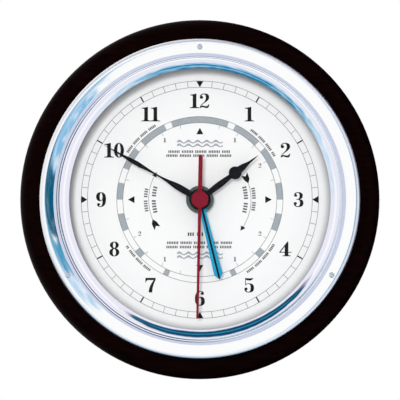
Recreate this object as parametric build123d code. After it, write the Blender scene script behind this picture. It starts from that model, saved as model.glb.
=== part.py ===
from build123d import *
import os
from math import cos, radians, sin

# Every length is in millimetres. The hand axis is the Y axis, the wall is the plane Y = 0,
# the clock faces -Y and +Z is up. A depth is a distance in front of the wall. A clock angle
# is in degrees, clockwise from 12 as seen from the front.

# The round opening that shows the dial, and the board that shows round the bezel
opening_radius = 65.3
board_margin = 10.0

# Clearances
running_clearance = 0.05
fit_clearance = 0.2

# Case cup, spun from thin metal, and the bezel ring in front of it
cup_wall = 0.6
cup_clearance = 0.4
flange_set_in = 1.5
shelf_width = 5.0
bezel_edge_height = 2.6
bezel_edge_round = 2.0
flange_dip = 0.8
flange_width = 7.0
step_width = 1.6
step_drop = 0.8
bead_width = 1.0
groove_width = 0.7
groove_depth = 0.9
slope_width = 4.4
slope_height = 2.6
slope_belly_share = 0.62
lip_height = 0.5
collar_wall = 0.8

# Bezel screws
screw_set_in = 4.1
screw_angles = (0, 120, 240)
screw_head_radius = 1.4
screw_head_height = 1.0
screw_seat_depth = 0.5
screw_shank_radius = 0.8
screw_bite = 8.0
screw_dimple_radius = 0.4
screw_dimple_depth = 0.3
screw_dome_share = 0.58

# Glass, gasket and spacer
glass_thickness = 2.0
glass_bite = 1.5
glass_shoulder = 0.4
gasket_thickness = 0.5
spacer_set_back = 0.7

# Dial and what clamps the movement to it
dial_thickness = 1.0
dial_bite = 1.0
cushion_thickness = 0.5
cushion_radius = 12.0
bush_wall = 0.75
bush_flange_width = 1.2
bush_flange_thickness = 0.6
mounting_washer_width = 3.0
mounting_washer_thickness = 0.5
nut_thickness = 2.2
nut_wall = 1.5
thread_show = 0.7

# Wooden base
edge_round = 8.5
edge_quirk = 1.2
back_chamfer = 1.5
rear_ledge = 2.0

# Keyhole hanger in the back of the base
hanger_margin = 2.0
hanger_width = 14.0
hanger_thickness = 1.2
hanger_entry_radius = 4.0
hanger_slot_radius = 2.1
hanger_entry_drop = 2.2
hanger_slot_rise = 3.5
hanger_pocket_width = 10.0
hanger_pocket_gap = 3.1
hanger_pocket_depth = 7.0
hanger_screw_inset = 3.5
hanger_screw_radius = 1.3
hanger_screw_head_radius = 2.5
hanger_screw_length = 10.0

# Movement housing
knob_wall_gap = 0.9
knob_height = 2.0
knob_gap = 0.2
knob_radius = 5.0
knob_cap = 0.5
knob_notches = 16
knob_notch_depth = 0.35
cover_thickness = 1.5
shell_wall = 1.3
shell_corner = 3.0
chamber_drop = 10.5
partition_wall = 1.6
pivot_depth = 0.8
pivot_end_gap = 0.1
post_radius = 1.4
peg_radius = 0.7

# Bridge between the two halves of the train: how far its posts stand from the hand axis
bridge_left = 17.7
bridge_right = 14.6
bridge_low = 5.6
bridge_high = 17.1
bridge_margin = 2.0

# Wheels, in layers from the rear cover forward
layer_room = 1.0
layer_step = 1.6
layer_gap = 0.6
wheel_thickness = 0.8
pinion_overhang = 0.2
bridge_thickness = 0.8

# Shape of every tooth, as shares of the module and of one tooth's pitch
addendum_share = 0.75
dedendum_share = 1.2
tip_share = 0.20
root_share = 0.50

# Teeth and axis distances of the trains
leaf_count = 8
intermediate_teeth = 40
seconds_teeth = 48
third_teeth = 60
centre_teeth = 64
cannon_leaves = 12
motion_teeth = 36
hour_teeth = 48
transfer_rear_teeth = 48
transfer_front_teeth = 57
tide_teeth = 59
rotor_distance = 7.2
intermediate_distance = 8.4
third_distance = 9.0
motion_distance = 9.0
transfer_distance = 14.4
rotor_angle = 45
intermediate_angle = 0
third_angle = -75
motion_angle = 60
transfer_angle = -30

# Arbors and the pipes that carry the hands
seconds_arbor_radius = 0.5
third_arbor_radius = 0.45
intermediate_arbor_radius = 0.45
rotor_arbor_radius = 0.35
motion_arbor_radius = 0.5
transfer_arbor_radius = 0.6
minute_pipe_wall = 1.05
hour_pipe_wall = 0.75
tide_pipe_wall = 0.75
minute_collar_width = 0.8
minute_collar_height = 0.4
clutch_radius = 4.0
clutch_thickness = 0.2
hub_margin = 1.0
transfer_hub_radius = 2.2

# Step motor
magnet_radius = 2.9
magnet_height = 2.2
magnet_lead = 0.6
stator_thickness = 0.6
stator_gap = 0.4
stator_rim = 1.7
stator_bar_width = 3.0
stator_leg_spacing = 16.8
stator_leg_reach = 10.6
coil_inset = 1.5
coil_barrel_radius = 1.9
coil_winding_height = 0.8
coil_flange_lip = 0.2
coil_flange_thickness = 0.6
coil_gap = 0.2
coil_room = 1.21
core_thickness = 0.6

# Circuit board
circuit_width = 8.5
circuit_thickness = 0.8
circuit_bridge_gap = 0.4
circuit_side_gap = 1.2
circuit_low_gap = 2.5
circuit_high_gap = 2.7
circuit_depth = 4.4
circuit_post_radius = 1.2
circuit_post_inset = 2.5
chip_radius = 2.6
chip_height = 0.8
chip_rise = 14.0
crystal_radius = 1.0
crystal_length = 6.0
crystal_rise = 22.0

# Battery, size AA, and its contacts
battery_radius = 7.25
battery_length = 50.5
battery_nub_radius = 2.75
battery_nub_length = 1.25
battery_slack = 0.2
bay_floor = 1.0
bay_wall = 1.0
bay_end_wall = 2.45
contact_thickness = 0.3
contact_plate_width = 7.0
contact_tab_width = 2.0
contact_lap = 1.0

# Hands
hand_thickness = 0.5
hand_gap = 0.6
pipe_stand = 0.2
glass_clearance = 1.3

# How far each hand's tip stays inside the opening, and its outline
tide_tip_gap = 24.1
tide_width = 4.4
tide_hub_radius = 6.8
tide_angle = 166.1
tide_shares = ((0.0, 0.56), (0.94, 1.0), (1.0, 0.0))

hour_tip_gap = 28.6
hour_width = 3.2
hour_hub_radius = 4.9
hour_eye_radius = 3.25
hour_eye_share = 0.602
hour_angle = 53.1
hour_stem_shares = ((0.0, 0.60), (0.10, 0.74), (0.20, 0.90), (0.34, 1.0), (0.46, 0.84), (0.56, 0.66))
hour_spear_shares = ((0.62, 1.10), (0.70, 1.08), (0.76, 0.84), (0.82, 0.48), (0.90, 0.28), (1.0, 0.0))

minute_tip_gap = 9.6
minute_width = 3.4
minute_hub_radius = 5.35
minute_angle = 299.6
minute_shares = ((0.0, 0.60), (0.08, 0.80), (0.19, 1.0), (0.26, 0.84), (0.35, 0.42), (0.46, 0.25),
                 (0.56, 0.46), (0.66, 0.68), (0.74, 0.52), (0.83, 0.26), (0.92, 0.14), (1.0, 0.0))

seconds_tip_gap = 5.6
seconds_tail_reach = 22.2
seconds_hub_radius = 4.27
seconds_boss_height = 0.8
seconds_boss_round = 0.5
seconds_thickness = 0.4
seconds_root_width = 1.7
seconds_tip_width = 1.15
seconds_tail_root_width = 2.25
seconds_tail_tip_width = 2.05
seconds_angle = 181.2

# Depths, counted forward from the wall
cover_back = knob_wall_gap + knob_height + knob_gap
cover_front = cover_back + cover_thickness
intermediate_back = cover_front + layer_room
seconds_back = intermediate_back + layer_step
third_back = seconds_back + layer_step
bridge_back = third_back + wheel_thickness + layer_gap
bridge_front = bridge_back + bridge_thickness
centre_back = bridge_front + layer_gap
motion_back = centre_back + layer_step
hour_back = motion_back + layer_step
tide_back = hour_back + layer_step
chamber_front = tide_back + wheel_thickness + layer_gap
movement_front = chamber_front + shell_wall
dial_back = movement_front + cushion_thickness
dial_front = dial_back + dial_thickness
shelf_back = dial_back - cup_wall
nut_back = dial_front + mounting_washer_thickness
bush_front = nut_back + nut_thickness + thread_show
tide_hand_back = bush_front + hand_gap
tide_hand_front = tide_hand_back + hand_thickness
hour_hand_back = tide_hand_front + pipe_stand + hand_gap
hour_hand_front = hour_hand_back + hand_thickness
minute_hand_back = hour_hand_front + pipe_stand + hand_gap
minute_hand_front = minute_hand_back + hand_thickness
seconds_hand_back = minute_hand_front + pipe_stand + hand_gap
seconds_hand_front = seconds_hand_back + seconds_thickness
seconds_boss_front = seconds_hand_front + seconds_boss_height
glass_back = seconds_boss_front + glass_clearance
glass_front = glass_back + glass_thickness
spacer_front = glass_back - gasket_thickness
bezel_back = glass_front - glass_shoulder
base_depth = bezel_back - cup_wall
bezel_edge_front = bezel_back + bezel_edge_height
bezel_crown_front = bezel_edge_front + bezel_edge_round
bezel_flange_front = bezel_crown_front - flange_dip
screw_seat = bezel_crown_front - screw_seat_depth

# Radii of the case, counted outward from the opening
slope_radius = opening_radius + slope_width
groove_radius = slope_radius + groove_width
bead_radius = groove_radius + bead_width
flange_radius_in = bead_radius + step_width
bezel_radius = flange_radius_in + flange_width
base_radius = bezel_radius + board_margin
screw_circle_radius = bezel_radius - screw_set_in
spacer_radius_in = opening_radius + spacer_set_back
glass_radius = opening_radius + glass_bite
collar_radius_in = glass_radius + fit_clearance
collar_radius = collar_radius_in + collar_wall
cup_radius_in = collar_radius + fit_clearance
cup_radius = cup_radius_in + cup_wall
counterbore_radius = cup_radius + cup_clearance
dial_radius = spacer_radius_in + dial_bite
shelf_radius_in = dial_radius - shelf_width
rear_bore_radius = shelf_radius_in - rear_ledge

# The hanger fills the ledge between the rear bore and the board's edge
hanger_place = (rear_bore_radius + base_radius) / 2
hanger_length = base_radius - rear_bore_radius - 2 * hanger_margin
hanger_screw_spacing = hanger_length - 2 * hanger_screw_inset
hanger_pocket_length = hanger_screw_spacing - 2 * hanger_pocket_gap

# Pipes, each running in the next with the same clearance
minute_pipe_bore = seconds_arbor_radius + running_clearance
minute_pipe_radius = minute_pipe_bore + minute_pipe_wall
hour_pipe_bore = minute_pipe_radius + running_clearance
hour_pipe_radius = hour_pipe_bore + hour_pipe_wall
tide_pipe_bore = hour_pipe_radius + running_clearance
tide_pipe_radius = tide_pipe_bore + tide_pipe_wall
bush_bore = tide_pipe_radius + running_clearance
bush_radius = bush_bore + bush_wall
bush_flange_radius = bush_radius + bush_flange_width

# Reach of each hand
tide_reach = opening_radius - tide_tip_gap
hour_reach = opening_radius - hour_tip_gap
minute_reach = opening_radius - minute_tip_gap
seconds_reach = opening_radius - seconds_tip_gap


def on_dial(distance, angle, centre=(0, 0)):
    """The point at a distance and clock angle from a centre, as (x, z)."""
    x = centre[0] + distance * sin(radians(angle))
    z = centre[1] + distance * cos(radians(angle))
    return (x, z)


intermediate_place = on_dial(intermediate_distance, intermediate_angle)
rotor_place = on_dial(rotor_distance, rotor_angle, intermediate_place)
third_place = on_dial(third_distance, third_angle)
motion_place = on_dial(motion_distance, motion_angle)
transfer_place = on_dial(transfer_distance, transfer_angle)

# Coil, set across the stator's legs
coil_winding_radius = coil_barrel_radius + coil_winding_height
coil_flange_radius = coil_winding_radius + coil_flange_lip
coil_rise = rotor_place[1] + stator_leg_reach - coil_inset
magnet_back = intermediate_back + wheel_thickness + magnet_lead
stator_back = magnet_back + (magnet_height - stator_thickness) / 2
stator_front = stator_back + stator_thickness
coil_depth = stator_front + core_thickness / 2

# Housing: wide enough for the battery and the circuit board, and high enough for the coil
chamber_low = -chamber_drop
chamber_high = coil_rise + coil_flange_radius + coil_room
housing_high = chamber_high + shell_wall
bay_top = chamber_low - partition_wall
cover_low = bay_top + partition_wall / 2
battery_rise = bay_top - battery_slack - battery_radius
bay_low = battery_rise - battery_radius - battery_slack
housing_low = bay_low - bay_wall
bay_half = battery_length / 2 + contact_thickness
circuit_left = bridge_right + bridge_margin + circuit_bridge_gap
circuit_right = circuit_left + circuit_width
circuit_low = chamber_low + circuit_low_gap
circuit_high = chamber_high - circuit_high_gap
circuit_back = cover_front + circuit_depth
circuit_front = circuit_back + circuit_thickness
housing_half = max(bay_half + bay_end_wall, circuit_right + circuit_side_gap + shell_wall)
chamber_half = housing_half - shell_wall
battery_depth = movement_front - bay_floor - battery_radius
tab_back = circuit_back - contact_tab_width


def slab(sketch, back, front):
    """Push a sketch in the dial's plane from one depth forward to another."""
    plane = Plane(origin=(0, -back, 0), x_dir=(1, 0, 0), z_dir=(0, -1, 0))
    return extrude(plane * sketch, amount=front - back, dir=(0, -1, 0))


def disc(radius, back, front, place=(0, 0)):
    return slab(Pos(*place) * Circle(radius), back, front)


def tube(radius, bore, back, front, place=(0, 0)):
    return slab(Pos(*place) * (Circle(radius) - Circle(bore)), back, front)


def block(left, right, low, high, back, front):
    rectangle = Rectangle(right - left, high - low, align=(Align.MIN, Align.MIN))
    return slab(Pos(left, low) * rectangle, back, front)


def at(radius, depth):
    """A point of a turned profile, which lies in the XY plane."""
    return (radius, -depth)


def turned(*curves):
    """Turn a closed profile round the hand axis."""
    edges = [edge for curve in curves for edge in curve.edges()]
    return revolve(make_face(edges), Axis.Y)


# Case

def wood_base():
    """A turned board with a moulded front edge, a seat for the cup and a bore behind it."""
    shoulder_radius = base_radius - edge_round
    shoulder_depth = base_depth - edge_quirk
    round_depth = shoulder_depth - edge_round
    lower = Polyline(
        at(shoulder_radius, shoulder_depth),
        at(shoulder_radius, base_depth),
        at(counterbore_radius, base_depth),
        at(counterbore_radius, shelf_back),
        at(rear_bore_radius, shelf_back),
        at(rear_bore_radius, 0),
        at(base_radius - back_chamfer, 0),
        at(base_radius, back_chamfer),
        at(base_radius, round_depth),
    )
    quarter = CenterArc(at(shoulder_radius, round_depth), edge_round, 0, -90)
    board = turned(lower, quarter)
    board -= hanger_recess()
    for angle in screw_angles:
        place = on_dial(screw_circle_radius, angle)
        board -= disc(screw_shank_radius, base_depth - screw_bite, base_depth, place)
    return board


def hanger_screw_places():
    half = hanger_screw_spacing / 2
    return [(0, hanger_place - half), (0, hanger_place + half)]


def hanger_outline():
    return Pos(0, hanger_place) * SlotOverall(hanger_length, hanger_width, rotation=90)


def hanger_recess():
    """The plate's seat, the pocket for a screw head behind it and the two screw holes."""
    pocket = Pos(0, hanger_place) * Rectangle(hanger_pocket_width, hanger_pocket_length)
    recess = slab(hanger_outline(), 0, hanger_thickness)
    recess += slab(pocket, hanger_thickness, hanger_thickness + hanger_pocket_depth)
    for place in hanger_screw_places():
        recess += disc(hanger_screw_radius, hanger_thickness, hanger_screw_length, place)
    return recess


def hanger_plate():
    """A flush steel plate with a keyhole: a screw head goes in low and slides up the slot."""
    entry = hanger_place - hanger_entry_drop
    slot_top = hanger_place + hanger_slot_rise
    slot = Rectangle(2 * hanger_slot_radius, slot_top - entry, align=(Align.CENTER, Align.MIN))
    keyhole = Pos(0, entry) * (Circle(hanger_entry_radius) + slot)
    keyhole += Pos(0, slot_top) * Circle(hanger_slot_radius)
    plate = slab(hanger_outline() - keyhole, 0, hanger_thickness)
    for place in hanger_screw_places():
        plate -= countersink(place)
    return plate


def countersink(place):
    """A flush screw head, and the hole that it fills."""
    top_down = (Align.CENTER, Align.CENTER, Align.MAX)
    cone = Cone(hanger_screw_radius, hanger_screw_head_radius, hanger_thickness, align=top_down)
    return Pos(place[0], 0, place[1]) * Rot(-90, 0, 0) * cone


def hanger_screws():
    screws = []
    for place in hanger_screw_places():
        shank = disc(hanger_screw_radius, hanger_thickness, hanger_screw_length, place)
        screws.append(countersink(place) + shank)
    return Compound(children=screws)


def case_cup():
    """The flange lies on the board, the wall lines its bore and the shelf carries the dial."""
    rim_radius = bezel_radius - flange_set_in
    cup = turned(Polyline(
        at(rim_radius, base_depth),
        at(rim_radius, bezel_back),
        at(cup_radius_in, bezel_back),
        at(cup_radius_in, dial_back),
        at(shelf_radius_in, dial_back),
        at(shelf_radius_in, shelf_back),
        at(cup_radius, shelf_back),
        at(cup_radius, base_depth),
        close=True,
    ))
    for angle in screw_angles:
        place = on_dial(screw_circle_radius, angle)
        cup -= disc(screw_shank_radius + running_clearance, base_depth, bezel_back, place)
    return cup


def bezel_ring():
    """A flange that rises to its round edge, a stepped bead, a groove and a slope down to the glass."""
    step_front = bezel_flange_front - step_drop
    groove_front = step_front - groove_depth
    lip_front = glass_front + lip_height
    slope_front = lip_front + slope_height
    back = Polyline(
        at(collar_radius_in, glass_front),
        at(collar_radius_in, spacer_front),
        at(collar_radius, spacer_front),
        at(collar_radius, bezel_back),
        at(bezel_radius, bezel_back),
        at(bezel_radius, bezel_edge_front),
    )
    corner_centre = at(bezel_radius - bezel_edge_round, bezel_edge_front)
    corner = CenterArc(corner_centre, bezel_edge_round, 0, -90)
    flange = TangentArc(corner @ 1, at(flange_radius_in, bezel_flange_front), tangent=corner % 1)
    step = Polyline(
        at(flange_radius_in, bezel_flange_front),
        at(flange_radius_in, step_front),
        at(bead_radius, step_front),
    )
    bead = ThreePointArc(
        at(bead_radius, step_front),
        at((bead_radius + groove_radius) / 2, step_front + bead_width / 2),
        at(groove_radius, step_front),
    )
    groove = Polyline(
        at(groove_radius, step_front),
        at(groove_radius, groove_front),
        at(slope_radius, groove_front),
        at(slope_radius, slope_front),
    )
    slope = ThreePointArc(
        at(slope_radius, slope_front),
        at((slope_radius + opening_radius) / 2, lip_front + slope_height * slope_belly_share),
        at(opening_radius, lip_front),
    )
    lip = Polyline(
        at(opening_radius, lip_front),
        at(opening_radius, glass_front),
        at(collar_radius_in, glass_front),
    )
    ring = turned(back, corner, flange, step, bead, groove, slope, lip)
    for angle in screw_angles:
        place = on_dial(screw_circle_radius, angle)
        ring -= disc(screw_shank_radius + running_clearance, bezel_back, bezel_crown_front, place)
        ring -= disc(screw_head_radius + running_clearance, screw_seat, bezel_crown_front, place)
    return ring


def bezel_screws():
    """Round heads with a small dimple, whose shanks bite into the board."""
    head_front = screw_seat + screw_head_height
    rim_front = head_front - screw_head_height / 2
    dome_radius = (screw_head_radius + screw_dimple_radius) * screw_dome_share
    dome_front = (3 * head_front + rim_front) / 4
    head = turned(
        Polyline(
            at(0, head_front - screw_dimple_depth),
            at(0, base_depth - screw_bite),
            at(screw_shank_radius, base_depth - screw_bite),
            at(screw_shank_radius, screw_seat),
            at(screw_head_radius, screw_seat),
            at(screw_head_radius, rim_front),
        ),
        ThreePointArc(
            at(screw_head_radius, rim_front),
            at(dome_radius, dome_front),
            at(screw_dimple_radius, head_front),
        ),
        Line(at(screw_dimple_radius, head_front), at(0, head_front - screw_dimple_depth)),
    )
    screws = []
    for angle in screw_angles:
        x, z = on_dial(screw_circle_radius, angle)
        screws.append(Pos(x, 0, z) * head)
    return Compound(children=screws)


def glass():
    return disc(glass_radius, glass_back, glass_front)


def glass_gasket():
    return tube(glass_radius, spacer_radius_in, spacer_front, glass_back)


def dial_spacer():
    """The white ring that stands on the dial and holds the glass away from the hands."""
    return tube(collar_radius, spacer_radius_in, dial_front, spacer_front)


def dial():
    return tube(dial_radius, bush_radius + running_clearance, dial_back, dial_front)


# How the movement hangs on the dial

def cushion_washer():
    return tube(cushion_radius, bush_flange_radius + fit_clearance, movement_front, dial_back)


def centre_bush():
    """A threaded brass bush, drawn plain, with a flange let into the housing."""
    bush = tube(bush_radius, bush_bore, chamber_front, bush_front)
    flange_back = movement_front - bush_flange_thickness
    return bush + tube(bush_flange_radius, bush_bore, flange_back, movement_front)


def mounting_washer():
    washer_radius = bush_radius + mounting_washer_width
    return tube(washer_radius, bush_radius + running_clearance, dial_front, nut_back)


def mounting_nut():
    hexagon = RegularPolygon(bush_radius + nut_wall, 6, major_radius=False)
    return slab(hexagon - Circle(bush_radius), nut_back, nut_back + nut_thickness)


# Housing

def housing_outline():
    height = housing_high - housing_low
    middle = (housing_high + housing_low) / 2
    return Pos(0, middle) * RectangleRounded(2 * housing_half, height, shell_corner)


def cover_outline():
    above = Rectangle(2 * housing_half, housing_high - cover_low, align=(Align.CENTER, Align.MIN))
    return housing_outline() & Pos(0, cover_low) * above


def pivot_hole(arbor_radius, face, end, place):
    """A blind bearing that starts at a face of the housing and ends inside its wall."""
    return disc(arbor_radius + running_clearance, min(face, end), max(face, end), place)


def bridge_post_places():
    return [
        (-bridge_left, -bridge_low),
        (bridge_right, -bridge_low),
        (bridge_right, bridge_high),
        (-bridge_left, bridge_high),
    ]


def circuit_post_places():
    middle = (circuit_left + circuit_right) / 2
    return [(middle, circuit_low + circuit_post_inset), (middle, circuit_high - circuit_post_inset)]


def contact_sides(side):
    """Left and right faces of the contact plate at one end of the battery bay."""
    return sorted((side * bay_half, side * (bay_half - contact_thickness)))


def movement_shell():
    """The front half of the housing, open to the rear, with the battery bay below."""
    shell = slab(housing_outline(), cover_back, movement_front)
    shell -= slab(cover_outline(), cover_back, cover_front)
    shell -= block(-chamber_half, chamber_half, chamber_low, chamber_high, cover_back, chamber_front)
    shell -= block(-bay_half, bay_half, bay_low, bay_top, cover_back, movement_front - bay_floor)
    for side in (-1, 1):
        left, right = contact_sides(side)
        shell -= block(left, right, bay_top, chamber_low, tab_back, circuit_back)
    shell -= disc(bush_radius, chamber_front, movement_front)
    shell -= disc(bush_flange_radius, movement_front - bush_flange_thickness, movement_front)
    for place in bridge_post_places():
        shell += disc(post_radius, bridge_front, chamber_front, place)
        shell += disc(peg_radius, bridge_back, bridge_front, place)
    for place in circuit_post_places():
        shell += disc(circuit_post_radius, circuit_front, chamber_front, place)
    hole_front = chamber_front + pivot_depth
    shell -= pivot_hole(third_arbor_radius, chamber_front, hole_front, third_place)
    shell -= pivot_hole(motion_arbor_radius, chamber_front, hole_front, motion_place)
    shell -= pivot_hole(transfer_arbor_radius, chamber_front, hole_front, transfer_place)
    return shell


def rear_cover():
    """The lid over the wheels. The battery bay below it stays open."""
    cover = slab(cover_outline(), cover_back, cover_front)
    hole_back = cover_front - pivot_depth
    cover -= pivot_hole(seconds_arbor_radius, cover_front, hole_back, (0, 0))
    cover -= pivot_hole(third_arbor_radius, cover_front, hole_back, third_place)
    cover -= pivot_hole(intermediate_arbor_radius, cover_front, hole_back, intermediate_place)
    cover -= pivot_hole(rotor_arbor_radius, cover_front, hole_back, rotor_place)
    cover -= disc(motion_arbor_radius + running_clearance, cover_back, cover_front, motion_place)
    cover -= disc(transfer_arbor_radius + running_clearance, cover_back, cover_front, transfer_place)
    return cover


def middle_plate():
    """The bridge between the two halves of the train, which also carries the stator."""
    left = -bridge_left - bridge_margin
    right = bridge_right + bridge_margin
    low = -bridge_low - bridge_margin
    high = bridge_high + bridge_margin
    plate = block(left, right, low, high, bridge_back, bridge_front)
    for place in stator_leg_places():
        plate += disc(post_radius, stator_front, bridge_back, place)
    holes = [
        (seconds_arbor_radius + running_clearance, (0, 0)),
        (third_arbor_radius + running_clearance, third_place),
        (intermediate_arbor_radius + running_clearance, intermediate_place),
        (rotor_arbor_radius + running_clearance, rotor_place),
        (motion_arbor_radius + fit_clearance, motion_place),
        (transfer_arbor_radius + fit_clearance, transfer_place),
    ]
    holes += [(peg_radius, place) for place in bridge_post_places()]
    for radius, place in holes:
        plate -= disc(radius, bridge_back, bridge_front, place)
    return plate


# Wheels

def toothed(teeth, pitch_radius, turn, back, front, place=(0, 0)):
    """A spur wheel with straight flanks, whose first tooth points at the clock angle turn."""
    module = 2 * pitch_radius / teeth
    tip = pitch_radius + addendum_share * module
    root = pitch_radius - dedendum_share * module
    pitch_angle = 360 / teeth
    points = []
    for tooth in range(teeth):
        middle = turn + tooth * pitch_angle
        points.append(on_dial(root, middle - root_share * pitch_angle / 2, place))
        points.append(on_dial(tip, middle - tip_share * pitch_angle / 2, place))
        points.append(on_dial(tip, middle + tip_share * pitch_angle / 2, place))
        points.append(on_dial(root, middle + root_share * pitch_angle / 2, place))
    return slab(make_face(Polyline(*points, close=True)), back, front)


def pitch_radii(distance, first_teeth, second_teeth):
    """The two pitch radii that share an axis distance."""
    first = distance * first_teeth / (first_teeth + second_teeth)
    return first, distance - first


def meshed_turn(first_teeth, first_turn, direction, second_teeth):
    """The turn that sets a gap of the second wheel on a tooth of the first."""
    phase = (direction - first_turn) * first_teeth / 360
    return direction + 180 - (0.5 - phase) * 360 / second_teeth


rear_pivot_end = cover_front - pivot_depth + pivot_end_gap
front_pivot_end = chamber_front + pivot_depth - pivot_end_gap

rotor_pitch, intermediate_pitch = pitch_radii(rotor_distance, leaf_count, intermediate_teeth)
intermediate_leaf_pitch, seconds_pitch = pitch_radii(intermediate_distance, leaf_count, seconds_teeth)
seconds_leaf_pitch, third_pitch = pitch_radii(third_distance, leaf_count, third_teeth)
third_leaf_pitch, centre_pitch = pitch_radii(third_distance, leaf_count, centre_teeth)
cannon_pitch, motion_pitch = pitch_radii(motion_distance, cannon_leaves, motion_teeth)
motion_leaf_pitch, hour_pitch = pitch_radii(motion_distance, cannon_leaves, hour_teeth)
transfer_rear_pitch, hour_tide_pitch = pitch_radii(transfer_distance, transfer_rear_teeth, hour_teeth)
transfer_front_pitch, tide_pitch = pitch_radii(transfer_distance, transfer_front_teeth, tide_teeth)

intermediate_turn = meshed_turn(leaf_count, 0, rotor_angle + 180, intermediate_teeth)
seconds_turn = meshed_turn(leaf_count, 0, intermediate_angle + 180, seconds_teeth)
third_turn = meshed_turn(leaf_count, 0, third_angle, third_teeth)
centre_turn = meshed_turn(leaf_count, 0, third_angle + 180, centre_teeth)
motion_turn = meshed_turn(cannon_leaves, 0, motion_angle, motion_teeth)
hour_turn = meshed_turn(cannon_leaves, 0, motion_angle + 180, hour_teeth)
transfer_rear_turn = meshed_turn(hour_teeth, hour_turn, transfer_angle, transfer_rear_teeth)
tide_turn = meshed_turn(transfer_front_teeth, 0, transfer_angle + 180, tide_teeth)


def rotor_pinion():
    back = intermediate_back - pinion_overhang
    front = intermediate_back + wheel_thickness + pinion_overhang
    staff = disc(rotor_arbor_radius, rear_pivot_end, bridge_front, rotor_place)
    return staff + toothed(leaf_count, rotor_pitch, 0, back, front, rotor_place)


def rotor_magnet():
    return tube(magnet_radius, rotor_arbor_radius, magnet_back, magnet_back + magnet_height, rotor_place)


def intermediate_wheel():
    wheel_front = intermediate_back + wheel_thickness
    leaves_front = seconds_back + wheel_thickness + pinion_overhang
    wheel = disc(intermediate_arbor_radius, rear_pivot_end, bridge_front, intermediate_place)
    wheel += toothed(intermediate_teeth, intermediate_pitch, intermediate_turn,
                     intermediate_back, wheel_front, intermediate_place)
    wheel += toothed(leaf_count, intermediate_leaf_pitch, 0, wheel_front, leaves_front, intermediate_place)
    return wheel


def seconds_wheel():
    """Its long arbor runs through the pipes and carries the seconds hand."""
    wheel_front = seconds_back + wheel_thickness
    leaves_front = third_back + wheel_thickness + pinion_overhang
    wheel = disc(seconds_arbor_radius, rear_pivot_end, seconds_hand_front, (0, 0))
    wheel += toothed(seconds_teeth, seconds_pitch, seconds_turn, seconds_back, wheel_front)
    wheel += toothed(leaf_count, seconds_leaf_pitch, 0, wheel_front, leaves_front)
    return wheel


def third_wheel():
    wheel_front = third_back + wheel_thickness
    leaves_back = centre_back - pinion_overhang
    leaves_front = centre_back + wheel_thickness + pinion_overhang
    wheel = disc(third_arbor_radius, rear_pivot_end, front_pivot_end, third_place)
    wheel += toothed(third_teeth, third_pitch, third_turn, third_back, wheel_front, third_place)
    wheel += toothed(leaf_count, third_leaf_pitch, 0, leaves_back, leaves_front, third_place)
    return wheel


def centre_wheel():
    wheel = toothed(centre_teeth, centre_pitch, centre_turn, centre_back, centre_back + wheel_thickness)
    return wheel - disc(minute_pipe_radius + running_clearance, centre_back, centre_back + wheel_thickness)


def clutch_spring():
    """A dished washer that presses the centre wheel onto the pipe's collar."""
    back = centre_back + wheel_thickness
    front = motion_back - pinion_overhang
    bore = minute_pipe_radius + running_clearance
    return turned(Polyline(
        at(bore, front - clutch_thickness),
        at(bore, front),
        at(clutch_radius, back + clutch_thickness),
        at(clutch_radius, back),
        close=True,
    ))


def minute_pipe():
    """The cannon pinion: the centre wheel slips on it when the hands are set."""
    collar_back = centre_back - minute_collar_height
    pinion_back = motion_back - pinion_overhang
    pinion_front = motion_back + wheel_thickness + pinion_overhang
    pipe = disc(minute_pipe_radius, collar_back, minute_hand_front + pipe_stand)
    pipe += disc(minute_pipe_radius + minute_collar_width, collar_back, centre_back)
    pipe += toothed(cannon_leaves, cannon_pitch, 0, pinion_back, pinion_front)
    return pipe - disc(minute_pipe_bore, collar_back, minute_hand_front + pipe_stand)


def motion_wheel():
    """Its arbor runs out through the rear cover to the setting knob."""
    wheel_front = motion_back + wheel_thickness
    leaves_front = hour_back + wheel_thickness + pinion_overhang
    wheel = disc(motion_arbor_radius, knob_wall_gap + knob_cap, front_pivot_end, motion_place)
    wheel += toothed(motion_teeth, motion_pitch, motion_turn, motion_back, wheel_front, motion_place)
    wheel += toothed(cannon_leaves, motion_leaf_pitch, 0, wheel_front, leaves_front, motion_place)
    return wheel


def hand_wheel(teeth, pitch, turn, back, pipe_radius, bore, pipe_front):
    """A wheel with a pipe that reaches forward to its hand."""
    hub_back = back - pinion_overhang
    wheel = toothed(teeth, pitch, turn, back, back + wheel_thickness)
    wheel += disc(pipe_radius + hub_margin, hub_back, back)
    wheel += disc(pipe_radius, back, pipe_front)
    return wheel - disc(bore, hub_back, pipe_front)


def hour_wheel():
    return hand_wheel(hour_teeth, hour_pitch, hour_turn, hour_back,
                      hour_pipe_radius, hour_pipe_bore, hour_hand_front + pipe_stand)


def tide_wheel():
    return hand_wheel(tide_teeth, tide_pitch, tide_turn, tide_back,
                      tide_pipe_radius, tide_pipe_bore, tide_hand_front + pipe_stand)


def transfer_wheel():
    """Two wheels on one arbor: 57 and 59 teeth slow the tide hand to the lunar half day."""
    rear_front = hour_back + wheel_thickness
    wheel = disc(transfer_arbor_radius, knob_wall_gap + knob_cap, front_pivot_end, transfer_place)
    wheel += toothed(transfer_rear_teeth, transfer_rear_pitch, transfer_rear_turn,
                     hour_back, rear_front, transfer_place)
    wheel += disc(transfer_hub_radius, rear_front, tide_back, transfer_place)
    wheel += toothed(transfer_front_teeth, transfer_front_pitch, 0,
                     tide_back, tide_back + wheel_thickness, transfer_place)
    return wheel


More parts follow.
